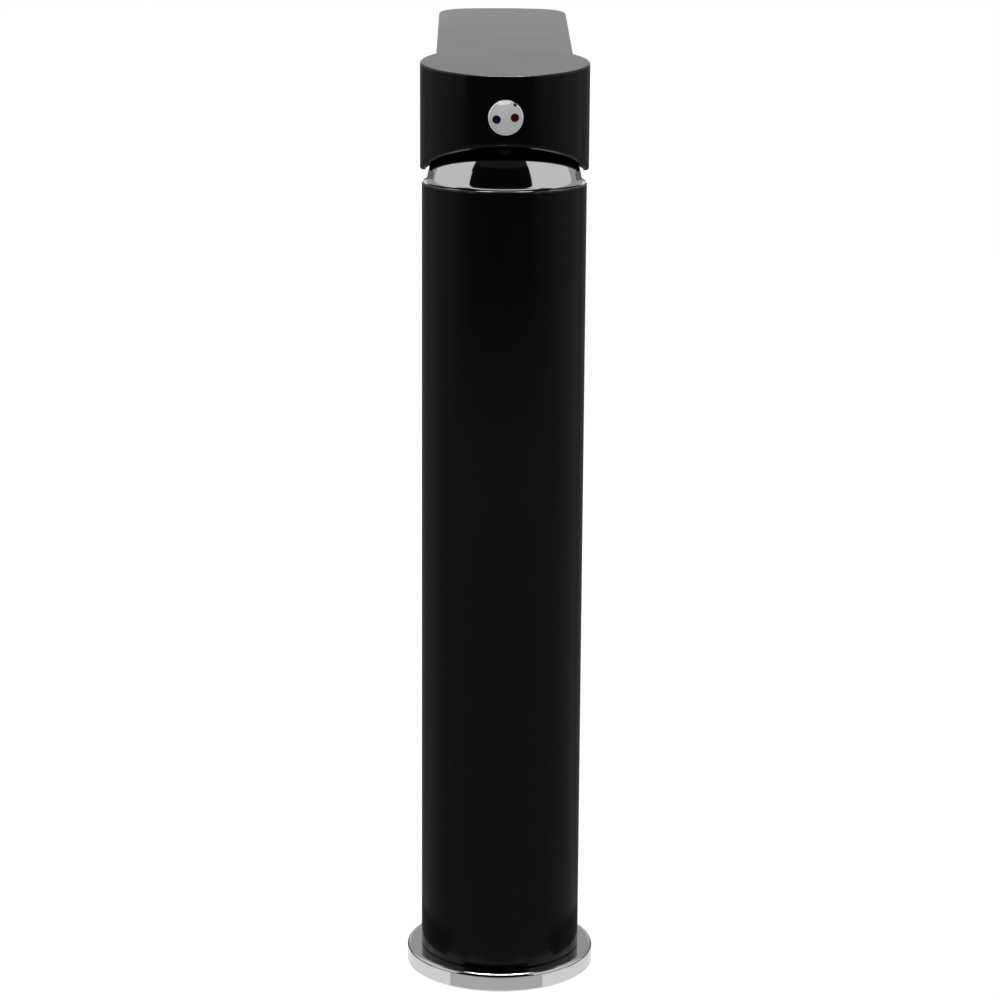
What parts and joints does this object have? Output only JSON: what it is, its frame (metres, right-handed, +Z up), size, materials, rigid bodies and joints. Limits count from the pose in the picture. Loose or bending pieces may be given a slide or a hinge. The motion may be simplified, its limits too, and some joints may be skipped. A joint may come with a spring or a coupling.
{
  "type": "tall basin mixer",
  "caption": "Tall single-lever basin mixer: black tube body on a chrome foot ring, chrome ball collar, flat blade lever over a straight spout, with its cartridge inside.",
  "frame": {"origin": "centre of the foot's underside, on the tube's axis", "axes": "+Z up the tube, +Y the way the spout and the closed lever point, +X to the side of the hot inlet"},
  "size_m": [0.059, 0.1755, 0.2942],
  "materials": {
    "black_paint": "smooth satin black coating on brass",
    "chrome": "polished chrome plating on brass",
    "brass": "machined brass",
    "steel": "turned stainless steel",
    "rubber": "black rubber",
    "white_plastic": "moulded white plastic",
    "grey_plastic": "moulded grey plastic",
    "ceramic": "lapped white ceramic",
    "blue_mark": "dark blue enamel",
    "red_mark": "dark red enamel"
  },
  "bodies": {
    "mixer_body": {"body_shell": "black_paint", "base_ring": "chrome", "base_bridge": "brass", "base_gasket": "rubber", "cartridge_seat": "brass", "spout": "black_paint", "spout_o_rings": "rubber", "spout_lock_screw": "steel", "aerator_housing": "chrome", "aerator_insert": "grey_plastic", "aerator_seal": "rubber", "cartridge_base": "white_plastic", "port_seals": "rubber", "disc_seals": "rubber", "fixed_disc": "ceramic", "cartridge_housing": "white_plastic", "cartridge_nut": "brass", "dome_collar": "chrome", "collar_o_ring": "rubber"},
    "stem_turn": {"stem_carrier": "grey_plastic", "carrier_o_ring": "rubber", "pivot_pin": "steel"},
    "disc_slider": {"disc_drive": "grey_plastic", "moving_disc": "ceramic"},
    "lever": {"lever_handle": "black_paint", "valve_stem": "brass", "grub_screw": "steel", "indicator_plug": "chrome", "cold_mark": "blue_mark", "hot_mark": "red_mark"}
  },
  "joints": [
    {"name": "temperature_swing", "type": "hinge", "parent": "mixer_body", "child": "stem_turn", "pos_m": [0, 0, 0.2504], "axis": [0, 0, 1], "range_deg": [-45, 45]},
    {"name": "lever_lift", "type": "hinge", "parent": "stem_turn", "child": "lever", "pos_m": [0, 0, 0.2504], "axis": [1, 0, 0], "range_deg": [0, 22]},
    {"name": "disc_slide", "type": "slide", "parent": "stem_turn", "child": "disc_slider", "axis": [0, 1, 0], "range_m": [0, 0.00382]}
  ],
  "couplings": [
    {"joint": "disc_slide", "follows": "lever_lift", "m_per_rad": 0.0099387}
  ]
}
